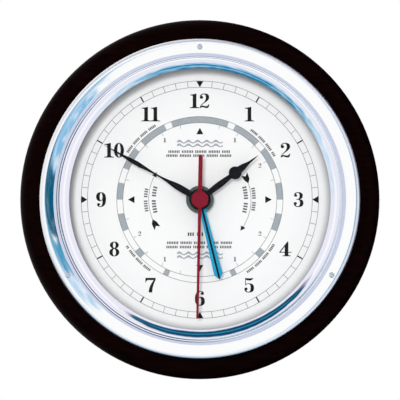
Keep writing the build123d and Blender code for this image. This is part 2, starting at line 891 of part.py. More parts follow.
def set_knob(arbor_radius, place):
    """A notched knob behind the rear cover, pressed on the end of an arbor."""
    knob_front = knob_wall_gap + knob_height
    pitch_angle = 360 / knob_notches
    waist = knob_radius - knob_notch_depth
    points = []
    for notch in range(knob_notches):
        middle = notch * pitch_angle
        points.append(on_dial(knob_radius, middle - pitch_angle / 6, place))
        points.append(on_dial(knob_radius, middle + pitch_angle / 6, place))
        points.append(on_dial(waist, middle + pitch_angle / 2, place))
    knob = slab(make_face(Polyline(*points, close=True)), knob_wall_gap, knob_front)
    return knob - disc(arbor_radius, knob_wall_gap + knob_cap, knob_front, place)


# Step motor

def stator_leg_places():
    half = stator_leg_spacing / 2
    return [(rotor_place[0] - half, rotor_place[1]), (rotor_place[0] + half, rotor_place[1])]


def stator():
    """A flat plate with the rotor's hole, and two legs that reach up to the coil's core."""
    bore = magnet_radius + stator_gap
    half_width = stator_bar_width / 2
    span = stator_leg_spacing + stator_bar_width
    shape = Pos(*rotor_place) * (Circle(bore + stator_rim) + Rectangle(span, stator_bar_width))
    for x, z in stator_leg_places():
        leg = Rectangle(stator_bar_width, stator_leg_reach + half_width, align=(Align.CENTER, Align.MIN))
        shape += Pos(x, z - half_width) * leg
    shape -= Pos(*rotor_place) * Circle(bore)
    return slab(shape, stator_back, stator_front)


def coil_core():
    half_span = (stator_leg_spacing + stator_bar_width) / 2
    x = rotor_place[0]
    half_width = stator_bar_width / 2
    return block(x - half_span, x + half_span, coil_rise - half_width, coil_rise + half_width,
                 stator_front, stator_front + core_thickness)


def lying_cylinder(radius, start, end, depth, rise):
    """A cylinder along X, from one end to the other."""
    from_start = (Align.CENTER, Align.CENTER, Align.MIN)
    cylinder = Cylinder(radius, end - start, rotation=(0, 90, 0), align=from_start)
    return Pos(start, -depth, rise) * cylinder


def coil_cylinder(radius, start, end):
    return lying_cylinder(radius, start, end, coil_depth, coil_rise)


def coil_ends():
    half = (stator_leg_spacing - stator_bar_width) / 2 - coil_gap
    return rotor_place[0] - half, rotor_place[0] + half


def coil_bobbin():
    start, end = coil_ends()
    spool = coil_cylinder(coil_barrel_radius, start, end)
    spool += coil_cylinder(coil_flange_radius, start, start + coil_flange_thickness)
    spool += coil_cylinder(coil_flange_radius, end - coil_flange_thickness, end)
    return spool - coil_core()


def coil_winding():
    start, end = coil_ends()
    start += coil_flange_thickness
    end -= coil_flange_thickness
    return coil_cylinder(coil_winding_radius, start, end) - coil_cylinder(coil_barrel_radius, start, end)


# Circuit board

def circuit_board():
    return block(circuit_left, circuit_right, circuit_low, circuit_high, circuit_back, circuit_front)


def timing_chip():
    place = ((circuit_left + circuit_right) / 2, circuit_low + chip_rise)
    return disc(chip_radius, circuit_back - chip_height, circuit_back, place)


def quartz_crystal():
    x = (circuit_left + circuit_right) / 2
    from_below = (Align.CENTER, Align.CENTER, Align.MIN)
    can = Cylinder(crystal_radius, crystal_length, align=from_below)
    return Pos(x, crystal_radius - circuit_back, circuit_low + crystal_rise) * can


# Battery

def battery_cylinder(radius, start, end):
    return lying_cylinder(radius, start, end, battery_depth, battery_rise)


def battery_cell():
    half = battery_length / 2
    shoulder = half - battery_nub_length
    nub = battery_cylinder(battery_nub_radius, shoulder, half)
    return battery_cylinder(battery_radius, -half, shoulder) + nub


def contact_plate(side, tab_high):
    """A spring plate at one end of the bay, with a tab that goes up into the chamber."""
    half_width = contact_plate_width / 2
    left, right = contact_sides(side)
    plate = block(left, right, battery_rise - half_width, bay_top,
                  battery_depth - half_width, battery_depth + half_width)
    return plate + block(left, right, bay_top, tab_high, tab_back, circuit_back)


def battery_contact(side, board_end):
    """A plate whose tab folds over, runs along the partition and rises onto the circuit board."""
    strip_high = chamber_low + contact_thickness
    left, right = sorted((side * bay_half, board_end))
    riser_left, riser_right = sorted((board_end, board_end + side * contact_thickness))
    contact = contact_plate(side, strip_high)
    contact += block(left, right, chamber_low, strip_high, tab_back, circuit_back)
    contact += block(riser_left, riser_right, chamber_low, circuit_low + contact_lap, tab_back, circuit_back)
    return contact


def contact_positive():
    return battery_contact(1, min(bay_half, circuit_right) - contact_lap)


def contact_negative():
    return battery_contact(-1, circuit_left + contact_lap)


# Hands

def pointed(reach, width, shares, curved):
    """Half widths at stations along a hand, mirrored about its length."""
    right = [(width * across / 2, reach * along) for along, across in shares]
    left = [(-x, y) for x, y in reversed(right)]
    sides = (Spline(*right), Spline(*left)) if curved else (Polyline(*right), Polyline(*left))
    foot = Line(left[-1], right[0])
    edges = [edge for curve in sides for edge in curve.edges()]
    if right[-1] != left[0]:
        edges.append(Line(right[-1], left[0]).edge())
    return make_face(edges + [foot.edge()])


def hand(sketch, pipe_radius, angle, back, front):
    """Bore a hand for its pipe and turn it to the angle that the clock shows."""
    return slab(Rot(0, 0, -angle) * (sketch - Circle(pipe_radius)), back, front)


def tide_hand():
    sketch = Circle(tide_hub_radius) + pointed(tide_reach, tide_width, tide_shares, False)
    return hand(sketch, tide_pipe_radius, tide_angle, tide_hand_back, tide_hand_front)


def hour_hand():
    sketch = Circle(hour_hub_radius) + Pos(0, hour_reach * hour_eye_share) * Circle(hour_eye_radius)
    sketch += pointed(hour_reach, hour_width, hour_stem_shares, True)
    sketch += pointed(hour_reach, hour_width, hour_spear_shares, True)
    return hand(sketch, hour_pipe_radius, hour_angle, hour_hand_back, hour_hand_front)


def minute_hand():
    sketch = Circle(minute_hub_radius) + pointed(minute_reach, minute_width, minute_shares, True)
    return hand(sketch, minute_pipe_radius, minute_angle, minute_hand_back, minute_hand_front)


def bar(start, end, start_width, end_width):
    """A straight-sided bar along the hand, from one distance to another."""
    return make_face(Polyline(
        (start_width / 2, start),
        (end_width / 2, end),
        (-end_width / 2, end),
        (-start_width / 2, start),
        close=True,
    ))


def seconds_hand():
    """A needle, a tail on the other side and a round boss that hides the arbor's end."""
    needle = bar(0, seconds_reach, seconds_root_width, seconds_tip_width)
    tail = bar(0, -seconds_tail_reach, seconds_tail_root_width, seconds_tail_tip_width)
    sketch = Circle(seconds_hub_radius) + needle + tail
    blade = hand(sketch, seconds_arbor_radius, seconds_angle, seconds_hand_back, seconds_hand_front)
    boss = turned(
        Polyline(
            at(seconds_hub_radius - seconds_boss_round, seconds_boss_front),
            at(0, seconds_boss_front),
            at(0, seconds_hand_front),
            at(seconds_hub_radius, seconds_hand_front),
            at(seconds_hub_radius, seconds_boss_front - seconds_boss_round),
        ),
        CenterArc(at(seconds_hub_radius - seconds_boss_round, seconds_boss_front - seconds_boss_round),
                  seconds_boss_round, 0, -90),
    )
    return blade + boss


pieces = {
    "wood_base": wood_base(),
    "hanger_plate": hanger_plate(),
    "hanger_screws": hanger_screws(),
    "case_cup": case_cup(),
    "bezel_ring": bezel_ring(),
    "bezel_screws": bezel_screws(),
    "glass": glass(),
    "glass_gasket": glass_gasket(),
    "dial_spacer": dial_spacer(),
    "dial": dial(),
    "cushion_washer": cushion_washer(),
    "centre_bush": centre_bush(),
    "mounting_washer": mounting_washer(),
    "mounting_nut": mounting_nut(),
    "movement_shell": movement_shell(),
    "rear_cover": rear_cover(),
    "middle_plate": middle_plate(),
    "rotor_pinion": rotor_pinion(),
    "rotor_magnet": rotor_magnet(),
    "intermediate_wheel": intermediate_wheel(),
    "seconds_wheel": seconds_wheel(),
    "third_wheel": third_wheel(),
    "centre_wheel": centre_wheel(),
    "clutch_spring": clutch_spring(),
    "minute_pipe": minute_pipe(),
    "motion_wheel": motion_wheel(),
    "hour_wheel": hour_wheel(),
    "transfer_wheel": transfer_wheel(),
    "tide_wheel": tide_wheel(),
    "time_set_knob": set_knob(motion_arbor_radius, motion_place),
    "tide_set_knob": set_knob(transfer_arbor_radius, transfer_place),
    "stator": stator(),
    "coil_core": coil_core(),
    "coil_bobbin": coil_bobbin(),
    "coil_winding": coil_winding(),
    "circuit_board": circuit_board(),
    "timing_chip": timing_chip(),
    "quartz_crystal": quartz_crystal(),
    "battery_cell": battery_cell(),
    "contact_positive": contact_positive(),
    "contact_negative": contact_negative(),
    "tide_hand": tide_hand(),
    "hour_hand": hour_hand(),
    "minute_hand": minute_hand(),
    "seconds_hand": seconds_hand(),
}

os.makedirs("parts", exist_ok=True)
for name, piece in pieces.items():
    export_step(piece, f"parts/{name}.step")
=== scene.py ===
from math import cos, degrees, hypot, pi, radians, sin

import bmesh
import bpy
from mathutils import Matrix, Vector


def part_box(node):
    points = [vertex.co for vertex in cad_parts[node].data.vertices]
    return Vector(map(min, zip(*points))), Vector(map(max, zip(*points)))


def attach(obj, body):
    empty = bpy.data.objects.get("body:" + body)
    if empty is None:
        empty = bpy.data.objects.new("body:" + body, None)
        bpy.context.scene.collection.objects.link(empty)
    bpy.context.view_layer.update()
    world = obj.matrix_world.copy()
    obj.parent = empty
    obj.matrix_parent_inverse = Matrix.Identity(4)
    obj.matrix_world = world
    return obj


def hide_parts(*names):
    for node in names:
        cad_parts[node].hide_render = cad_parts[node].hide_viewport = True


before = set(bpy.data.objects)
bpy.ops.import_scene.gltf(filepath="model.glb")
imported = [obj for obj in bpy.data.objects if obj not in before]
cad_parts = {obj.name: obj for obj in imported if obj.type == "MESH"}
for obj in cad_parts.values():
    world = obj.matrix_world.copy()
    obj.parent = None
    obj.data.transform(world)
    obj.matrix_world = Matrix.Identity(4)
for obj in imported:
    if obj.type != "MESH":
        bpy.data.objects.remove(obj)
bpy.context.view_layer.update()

# Lengths are in metres, as in the frame, and angles in degrees. The hands turn about the Y axis,
# the clock faces -Y and +Z is up.
MM = 0.001

# Camera: the photograph is nearly square on, from a little below
photo_pixels = 400
pixel_size = 0.502 * MM
object_centre_pixel = (199.86, 199.80)
camera_distance = 3.0
camera_azimuth = 0.0
camera_elevation = -1.2
camera_reach = 20
sensor_width = 36 * MM

# A pale floor, low enough to stay out of the photograph's frame
floor_radius = 2.8
floor_corners = 96
floor_drop = 0.06

# Light: a soft key from the upper left and an even sky
key_side = -0.15
key_rise = 0.17
key_spread = 11
key_strength = 1.55
sky_strength = 0.92

# What polished metal finds round the clock. Each panel of the studio is an oval patch: its clock
# angle and half width (None goes all round), its slant away from the view axis (near, far), how
# soft and how ragged its edge is as shares of its size, how far white streaks break it up, and its
# colour.
studio_panels = (
    (58, 17, -14, 38, 0.38, 2.2, 0.6, (0.45, 0.67, 0.90)),
    (109, 24, -14, 40, 0.34, 1.9, 0.45, (0.22, 0.51, 0.78)),
    (64, 7, -4, 36, 0.30, 1.8, 0.3, (0.07, 0.33, 0.54)),
    (84, 13, -20, 52, 0.14, 0.9, 0.10, (0.002, 0.105, 0.200)),
    (0, None, 39, 82, 0.04, 0.0, 0.0, (0.84, 0.83, 0.95)),
    (0, None, 50, 60, 0.50, 0.0, 0.0, (0.98, 0.98, 1.0)),
    (200, 62, 52, 84, 0.40, 0.6, 0.5, (0.50, 0.73, 0.89)),
    (191, 40, 53, 86, 0.45, 0.5, 0.35, (0.13, 0.42, 0.65)),
    (195, 34, 60, 66, 0.40, 0.7, 0.2, (0.012, 0.17, 0.35)),
    (198, 32, 72, 77, 0.40, 0.7, 0.2, (0.010, 0.17, 0.35)),
    (350, 42, 46, 74, 0.12, 0.3, 0.0, (0.003, 0.065, 0.15)),
    (352, 34, 57, 63, 0.50, 0.6, 0.3, (0.03, 0.26, 0.42)),
    (150, 64, 84, 165, 0.08, 0.0, 0.0, (0.003, 0.006, 0.030)),
    (60, 58, 88, 165, 0.08, 0.0, 0.0, (0.006, 0.025, 0.10)),
)

# The streaks are this fine aside, upward and along the slant. With the middle of their noise as 0,
# white ones begin at the first value and are full at the second.
panel_streaks = (12, 12, 6)
gap_streaks = (-0.06, 0.14)

# A panel with 2 is an ellipse, and with more it has squarer corners.
panel_squareness = 3

# Nearer to the view axis than this, a direction keeps no clock angle.
least_aside = 0.001

# Dial print, as shares of the dial's radius. A feather of an arrow's tail has its corners as (along
# the arc, off it).
track_outer_share = 0.888
track_inner_share = 0.841
thin_line_share = 0.0033
hour_tick_share = 0.0098
quarter_mark_share = 0.0554
numeral_place_share = 0.739
numeral_height_share = 0.109
tide_ring_outer_share = 0.622
tide_ring_inner_share = 0.576
tide_tick_share = 0.028
tide_tick_width_share = 0.0052
tide_number_place_share = 0.517
tide_number_height_share = 0.033
inner_mark_tip_share = 0.538
inner_mark_base_share = 0.489
inner_mark_width_share = 0.0532
arrow_arc_share = 0.383
arrow_head_share = 0.038
feather_shares = ((0, 0), (0.030, 0.020), (0.078, 0.026), (0.056, 0))
feather_reach_share = 0.050

# Two waves stand above the hub and two below it. A wave is thicker at its crests by a share of its
# thickness.
wave_place_share = 0.418
wave_gap_share = 0.028
wave_width_share = 0.342
wave_height_share = 0.016
wave_thick_share = 0.013
wave_swell = 1 / 3
wave_crests = 5
wave_steps = 24

# Rows of short bars, as shares of the dial's radius: rows beside the hub as (radius, height, half
# angle), rows outside the tide ring as (radius, height), and straight rows as (place above the
# middle, width, height, bars in a group)
inner_row = (0.345, 0.031, 17)
outer_row = (0.406, 0.027, 13)
curved_row = (0.647, 0.0195)
straight_rows = (
    (0.359, 0.47, 0.019, 7),
    (0.329, 0.50, 0.019, 7),
    (-0.323, 0.49, 0.019, 7),
    (-0.355, 0.50, 0.019, 7),
    (-0.259, 0.18, 0.026, 3),
)
curved_group = 5

# A bar's pitch as a share of its height, and its width as a share of the pitch
bar_pitch_share = 0.66
bar_width_share = 0.60

# Clock angles: grey stretches and numbers of the tide ring, from high tide on both sides, then the
# curved rows and the arrows from their start to their end
tide_stretches = (
    (0, 20.5), (25.5, 45.5), (51.5, 67.5), (78, 90), (100, 112.5), (128.5, 134.5), (153.5, 157.5),
)
tide_tick_step = 15
tide_numbers = ((30.5, "1"), (60.5, "2"), (119.5, "2"), (149.5, "1"))
curved_rows = ((303, 330), (36, 61), (121, 148), (215, 238))
falling_arc = (64, 122)
rising_arc = (240, 297)

# How the print is drawn: its thickness, the numerals' width for their height, the angle of a step
# along an arc and an oval, the fewest steps of an oval, and the steps of a bend
print_lift = 0.03 * MM
numeral_stretch = 1.22
arc_step = 3
oval_step = 9
oval_fewest_steps = 12
bend_steps = 8

# The ring is turned again in fine steps. Edges sharper than this angle stay crisp.
turned_steps = 1080
sharp_angle = 22
same_point = 0.001 * MM

# The ring's finish, in shares of its radius: a duller flat step with a lavender tint that is a painted
# reflection, painted dark lines as (radius, half width, clock angle where it is darkest, colour), and a
# satin edge. The dark lines are painted reflections of the dark groove and painted shadow along the
# outer edge. By the cosine of the angle from its darkest place, a line is gone below the first value of
# the fade and full above the second.
dull_step_shares = (0.891, 0.911)
# The step's lavender tint is a painted reflection; its roughness is its real duller finish.
painted_step_reflection = (0.76, 0.77, 0.90)
dull_step_rough = 0.30
painted_dark_lines = (
    (0.8785, 0.0040, 245, (0.14, 0.18, 0.32)),
    (0.8925, 0.0040, 245, (0.14, 0.18, 0.32)),
    (0.9965, 0.0052, 180, (0.014, 0.028, 0.070)),
)
dark_line_fade = (0.10, 0.65)
satin_edge_shares = (0.975, 0.981)
satin_edge_rough = 0.40
chrome_colours = ((0.95, 0.955, 0.965), (0.99, 0.99, 0.99))
chrome_rough = (0.03, 0.07)
chrome_marks = (18, 900, 18)
chrome_detail = 3.0
chrome_relief = 0.0004 * MM

# The board: from the first of these shares of its depth to the second, its near-black front turns to
# lighter sides, a painted sheen, and its grain is a fineness, a stretch and a detail.
front_stain = ((0.0012, 0.0002, 0.0002), (0.0048, 0.0006, 0.0005))
side_stain_and_sheen = ((0.0060, 0.0022, 0.0016), (0.0220, 0.0075, 0.0050))
painted_sheen_shares = (0.20, 0.50)
lacquer_values = {"Specular IOR Level": 0.012}
lacquer_rough = (0.30, 0.45)
wood_grain = (60, (1, 5, 9), 6.0)
wood_relief = 0.004 * MM

# Painted shadow: the dial's white paint greys from this share of its radius to its edge, standing in
# for the shade of the ring's deep recess.
dial_rim_shadow_share = 0.915
painted_rim_shadow = (0.32, 0.32, 0.33)
dial_colours = ((0.93, 0.933, 0.935), (0.945, 0.947, 0.95))
dial_values = {"Specular IOR Level": 0.1}
dial_rough = (0.45, 0.6)
dial_grain = 900

# The window's glass
glass_values = {"Alpha": 0.06, "IOR": 1.5, "Specular IOR Level": 0.5}
glass_colours = ((0.010, 0.012, 0.012), (0.016, 0.019, 0.018))
glass_rough = (0.0, 0.03)
glass_grain = 30

# The tide hand, in shares of its reach: the stripe's width, and the blade's width and start
stripe_width_share = 0.0243
blade_width_share = 0.109
blade_start_share = 0.112
blade_colours = ((0.012, 0.30, 0.52), (0.020, 0.37, 0.60))
stripe_colour = (0.004, 0.006, 0.016)
tide_hub_colour = (0.10, 0.13, 0.115)
tide_hand_values = {"Specular IOR Level": 0.08}
tide_hand_rough = (0.40, 0.55)
tide_hand_grain = 500

# The battery cell, in shares of its length: pale bands from start to end, and bare ends
battery_bands = ((0.70, 0.90), (0.66, 0.68))
battery_bare_share = 0.035
battery_colours = ((0.030, 0.055, 0.085), (0.040, 0.070, 0.105))
battery_band_colour = (0.55, 0.56, 0.57)
battery_bare_colour = (0.62, 0.62, 0.62)
battery_rough = (0.22, 0.34)
battery_grain = 300
battery_relief = 0.004 * MM

# Plain finishes: the darkest and the palest colour, the smoothest and the roughest finish, how fine
# the grain is, and the values that are the same all over
plain = {}
metal = {"Metallic": 1.0}
dim_metal = {"Metallic": 0.6}
hand_paint = {"Specular IOR Level": 0.06}
flat_ink = {"Specular IOR Level": 0.1}
plain_finishes = {
    "plated_steel": ((0.30, 0.31, 0.33), (0.42, 0.43, 0.45), (0.18, 0.32), 600, metal),
    "plated_screw": ((0.62, 0.63, 0.67), (0.72, 0.73, 0.77), (0.10, 0.18), 900, metal),
    "zinc_plate": ((0.50, 0.51, 0.52), (0.62, 0.62, 0.60), (0.28, 0.45), 120, metal),
    "spun_aluminium": ((0.72, 0.73, 0.74), (0.82, 0.83, 0.84), (0.25, 0.4), 300, metal),
    "black_rubber": ((0.012, 0.012, 0.012), (0.03, 0.03, 0.03), (0.6, 0.8), 700, plain),
    # The spacer is grey, not white: painted shade in the recess at the dial's rim.
    "spacer_grey_painted_shade": ((0.55, 0.56, 0.58), (0.62, 0.63, 0.65), (0.5, 0.65), 500, plain),
    "turned_brass": ((0.62, 0.42, 0.14), (0.74, 0.53, 0.20), (0.2, 0.35), 500, metal),
    "housing_plastic": ((0.010, 0.010, 0.012), (0.022, 0.022, 0.025), (0.42, 0.6), 1200, plain),
    "bridge_plastic": ((0.70, 0.70, 0.66), (0.78, 0.78, 0.74), (0.4, 0.55), 800, plain),
    "wheel_plastic": ((0.74, 0.71, 0.62), (0.82, 0.79, 0.70), (0.35, 0.5), 800, plain),
    "knob_plastic": ((0.16, 0.165, 0.18), (0.21, 0.215, 0.23), (0.4, 0.55), 900, plain),
    "sintered_magnet": ((0.04, 0.04, 0.042), (0.07, 0.07, 0.072), (0.5, 0.7), 900, dim_metal),
    "soft_iron": ((0.42, 0.43, 0.44), (0.52, 0.53, 0.54), (0.3, 0.45), 400, metal),
    "bobbin_plastic": ((0.02, 0.10, 0.075), (0.03, 0.14, 0.10), (0.4, 0.55), 800, plain),
    "enamelled_copper": ((0.50, 0.18, 0.07), (0.66, 0.28, 0.12), (0.25, 0.4), 30, metal),
    "circuit_laminate": ((0.09, 0.045, 0.015), (0.14, 0.075, 0.03), (0.4, 0.55), 200, plain),
    "chip_resin": ((0.004, 0.004, 0.004), (0.010, 0.010, 0.010), (0.12, 0.25), 200, plain),
    "crystal_can": ((0.60, 0.60, 0.60), (0.70, 0.70, 0.70), (0.18, 0.3), 400, metal),
    "contact_spring": ((0.62, 0.60, 0.54), (0.72, 0.70, 0.64), (0.22, 0.35), 300, metal),
    "hand_black": ((0.0035, 0.0035, 0.006), (0.006, 0.006, 0.010), (0.42, 0.55), 600, hand_paint),
    "hand_crimson": ((0.20, 0.005, 0.018), (0.25, 0.009, 0.026), (0.42, 0.55), 600, hand_paint),
    "black_ink": ((0.006, 0.006, 0.006), (0.010, 0.010, 0.010), (0.5, 0.65), 900, flat_ink),
    "line_ink": ((0.11, 0.11, 0.12), (0.14, 0.14, 0.15), (0.5, 0.65), 900, plain),
    "grey_ink": ((0.35, 0.39, 0.42), (0.39, 0.43, 0.46), (0.5, 0.65), 900, plain),
    "pale_ink": ((0.42, 0.50, 0.58), (0.46, 0.54, 0.62), (0.5, 0.65), 900, plain),
    "floor_paint": ((0.80, 0.80, 0.80), (0.83, 0.83, 0.83), (0.7, 0.8), 40, plain),
}
plain_relief = 0.01 * MM
winding_stretch = (90, 1, 1)
winding_relief = 0.03 * MM

# The nodes that have each plain finish. The wheels are the rest.
nodes_with = {
    "plated_steel": ("hanger_screws", "mounting_washer", "mounting_nut"),
    "plated_screw": ("bezel_screws",),
    "zinc_plate": ("hanger_plate",),
    "spun_aluminium": ("case_cup",),
    "black_rubber": ("glass_gasket", "cushion_washer"),
    "spacer_grey_painted_shade": ("dial_spacer",),
    "turned_brass": ("centre_bush",),
    "housing_plastic": ("movement_shell", "rear_cover"),
    "bridge_plastic": ("middle_plate",),
    "knob_plastic": ("time_set_knob", "tide_set_knob"),
    "sintered_magnet": ("rotor_magnet",),
    "soft_iron": ("stator", "coil_core"),
    "bobbin_plastic": ("coil_bobbin",),
    "circuit_laminate": ("circuit_board",),
    "chip_resin": ("timing_chip",),
    "crystal_can": ("quartz_crystal",),
    "contact_spring": ("clutch_spring", "contact_positive", "contact_negative"),
    "hand_black": ("hour_hand", "minute_hand"),
    "hand_crimson": ("seconds_hand",),
}

# A noise stays mostly between these values, and has this much detail.
noise_middle = (0.3, 0.7)
noise_detail = 4.0


# Points of the dial, as (x, z) in metres

def on_dial(radius, angle):
    """The point at a radius and a clock angle, clockwise from 12."""
    return (radius * sin(radians(angle)), radius * cos(radians(angle)))


def arc_points(radius, start, end):
    steps = max(2, round(abs(end - start) / arc_step))
    return [on_dial(radius, start + (end - start) * i / steps) for i in range(steps + 1)]


def ring(inner, outer):
    return [arc_points(outer, 0, 360)[:-1], arc_points(inner, 0, 360)[:-1]]


def thin_ring(radius, line):
    return ring(radius - line / 2, radius + line / 2)


def sector(inner, outer, start, end):
    return [arc_points(outer, start, end) + arc_points(inner, end, start)]


def tick(inner, outer, angle, width):
    """A straight mark along a radius."""
    across = on_dial(width / 2, angle + 90)
    corners = []
    for radius, side in ((inner, 1), (outer, 1), (outer, -1), (inner, -1)):
        x, z = on_dial(radius, angle)
        corners.append((x + side * across[0], z + side * across[1]))
    return [corners]


def pointer(base, tip, angle, width):
    """A triangle along a radius, from its base to its tip."""
    across = on_dial(width / 2, angle + 90)
    x, z = on_dial(base, angle)
    return [[(x + across[0], z + across[1]), on_dial(tip, angle), (x - across[0], z - across[1])]]


# Numerals: upright serif figures, drawn on a body one unit high from the baseline

def bend(start, pull, end):
    """A curve from start to end that is pulled towards a third point, without its end."""
    points = []
    for i in range(bend_steps):
        t = i / bend_steps
        a, b, c = (1 - t) ** 2, 2 * t * (1 - t), t ** 2
        points.append((a * start[0] + b * pull[0] + c * end[0], a * start[1] + b * pull[1] + c * end[1]))
    return points


def run(*marks):
    """A closed outline of bends: start, pull, end, pull, end and so on."""
    points = []
    for start, pull, end in zip(marks[0::2], marks[1::2], marks[2::2]):
        points += bend(start, pull, end)
    return points


def oval(x, y, across, up, start=0, end=360):
    """An elliptical arc. A whole turn closes by itself."""
    steps = max(oval_fewest_steps, round(abs(end - start) / oval_step))
    count = steps if abs(end - start) == 360 else steps + 1
    turns = [radians(start + (end - start) * i / steps) for i in range(count)]
    return [(x + across * cos(t), y + up * sin(t)) for t in turns]


def figure_0():
    return [oval(0.31, 0.5, 0.285, 0.51), oval(0.31, 0.5, 0.09, 0.46)]


def figure_1():
    foot = [(0.0, 0.055), (0.0, 0.0), (0.54, 0.0), (0.54, 0.055)]
    stem = bend((0.54, 0.055), (0.375, 0.055), (0.375, 0.14)) + [(0.375, 0.14), (0.375, 1.0), (0.32, 1.0)]
    flag = bend((0.32, 1.0), (0.18, 0.94), (0.02, 0.935)) + [(0.02, 0.935), (0.02, 0.88)]
    back = bend((0.02, 0.88), (0.17, 0.88), (0.17, 0.81)) + [(0.17, 0.81)]
    return [foot[1:] + stem + flag + back + bend((0.17, 0.14), (0.17, 0.055), (0.0, 0.055)) + foot[:1]]


def figure_2():
    return [run(
        (0.045, 0.76), (0.06, 1.01), (0.31, 1.01), (0.575, 1.01), (0.575, 0.74),
        (0.575, 0.58), (0.36, 0.40), (0.16, 0.235), (0.12, 0.15), (0.20, 0.20), (0.31, 0.155),
        (0.46, 0.08), (0.53, 0.26), (0.555, 0.26), (0.585, 0.26), (0.57, 0.0), (0.44, 0.0),
        (0.36, 0.0), (0.28, 0.045), (0.17, 0.10), (0.085, 0.0), (0.06, 0.0), (0.04, 0.0),
        (0.05, 0.19), (0.24, 0.37), (0.385, 0.52), (0.385, 0.74), (0.385, 0.95), (0.27, 0.95),
        (0.155, 0.95), (0.145, 0.84), (0.235, 0.83), (0.235, 0.74), (0.235, 0.645), (0.14, 0.645),
        (0.045, 0.645), (0.045, 0.76),
    )]


def figure_3():
    return [run(
        (0.04, 0.24), (0.04, 0.33), (0.13, 0.33), (0.22, 0.33), (0.22, 0.24), (0.22, 0.175), (0.15, 0.155),
        (0.17, 0.05), (0.27, 0.05), (0.39, 0.05), (0.39, 0.27), (0.39, 0.49), (0.27, 0.49),
        (0.22, 0.49), (0.19, 0.49), (0.19, 0.52), (0.19, 0.55), (0.22, 0.55), (0.25, 0.55),
        (0.365, 0.55), (0.365, 0.77), (0.365, 0.95), (0.265, 0.95), (0.175, 0.95), (0.155, 0.87),
        (0.235, 0.85), (0.235, 0.78), (0.235, 0.695), (0.145, 0.695), (0.06, 0.695), (0.06, 0.79),
        (0.07, 1.01), (0.29, 1.01), (0.55, 1.01), (0.55, 0.77), (0.55, 0.57), (0.385, 0.53),
        (0.585, 0.49), (0.585, 0.27), (0.585, -0.01), (0.30, -0.01), (0.05, -0.01), (0.04, 0.24),
    )]


def figure_4():
    outside = [
        (0.45, 1.01), (0.505, 1.01), (0.505, 0.30), (0.68, 0.30), (0.68, 0.245), (0.505, 0.245),
        (0.505, 0.11), (0.54, 0.065), (0.63, 0.055), (0.63, 0.0), (0.18, 0.0), (0.18, 0.055),
        (0.265, 0.065), (0.30, 0.11), (0.30, 0.245), (0.0, 0.245), (0.0, 0.30),
    ]
    return [outside, [(0.075, 0.30), (0.30, 0.66), (0.30, 0.30)]]


def figure_5():
    return [run(
        (0.04, 0.24), (0.04, 0.33), (0.13, 0.33), (0.22, 0.33), (0.22, 0.24), (0.22, 0.175), (0.15, 0.155),
        (0.17, 0.05), (0.28, 0.05), (0.39, 0.05), (0.39, 0.31), (0.39, 0.575), (0.28, 0.575),
        (0.18, 0.575), (0.125, 0.49), (0.105, 0.49), (0.085, 0.49), (0.085, 0.75), (0.085, 1.0),
        (0.31, 0.94), (0.54, 1.0), (0.51, 0.82), (0.33, 0.82), (0.22, 0.82), (0.125, 0.86),
        (0.125, 0.70), (0.125, 0.56), (0.19, 0.625), (0.31, 0.625), (0.585, 0.625), (0.585, 0.31),
        (0.585, -0.01), (0.30, -0.01), (0.05, -0.01), (0.04, 0.24),
    )]


def figure_6():
    outside = run(
        (0.54, 0.83), (0.54, 0.745), (0.455, 0.745), (0.37, 0.745), (0.37, 0.83), (0.375, 0.90),
        (0.44, 0.92), (0.42, 0.958), (0.35, 0.958), (0.235, 0.958), (0.235, 0.53), (0.27, 0.61),
        (0.36, 0.61), (0.595, 0.61), (0.595, 0.30), (0.595, -0.01), (0.32, -0.01), (0.035, -0.01),
        (0.035, 0.47), (0.035, 1.01), (0.35, 1.01), (0.54, 1.01), (0.54, 0.83),
    )
    return [outside, oval(0.315, 0.30, 0.076, 0.258)]


def figure_7():
    return [run(
        (0.02, 0.68), (0.045, 0.68), (0.06, 0.68), (0.08, 0.845), (0.17, 0.845), (0.32, 0.845),
        (0.49, 0.845), (0.21, 0.40), (0.21, 0.0), (0.30, 0.0), (0.41, 0.0), (0.41, 0.42),
        (0.60, 0.86), (0.60, 0.93), (0.60, 1.0), (0.31, 1.0), (0.03, 1.0), (0.02, 0.84), (0.02, 0.68),
    )]


def figure_8():
    outside = oval(0.31, 0.275, 0.285, 0.285, 69, -249) + oval(0.31, 0.765, 0.25, 0.245, 246.5, -66.5)
    return [outside, oval(0.31, 0.275, 0.09, 0.232), oval(0.31, 0.765, 0.072, 0.195)]


def figure_9():
    return [[(0.63 - x, 1.0 - y) for x, y in loop] for loop in figure_6()]


# Each figure's drawing and how far it moves the pen
figures = {
    "0": (figure_0, 0.62), "1": (figure_1, 0.52), "2": (figure_2, 0.62), "3": (figure_3, 0.63),
    "4": (figure_4, 0.68), "5": (figure_5, 0.63), "6": (figure_6, 0.63), "7": (figure_7, 0.62),
    "8": (figure_8, 0.62), "9": (figure_9, 0.63),
}


def number(text, height, centre):
    """The outlines of a number, centred at a point of the dial."""
    wide = height * numeral_stretch
    pen = centre[0] - sum(figures[sign][1] for sign in text) * wide / 2
    low = centre[1] - height / 2
    shapes = []
    for sign in text:
        draw, advance = figures[sign]
        shapes.append([[(pen + x * wide, low + y * height) for x, y in loop] for loop in draw()])
        pen += advance * wide
    return shapes


# Pieces

def add_object(name, data):
    """Put a mesh, a lamp or a camera in the scene."""
    thing = bpy.data.objects.new(name, data)
    bpy.context.scene.collection.objects.link(thing)
    return thing


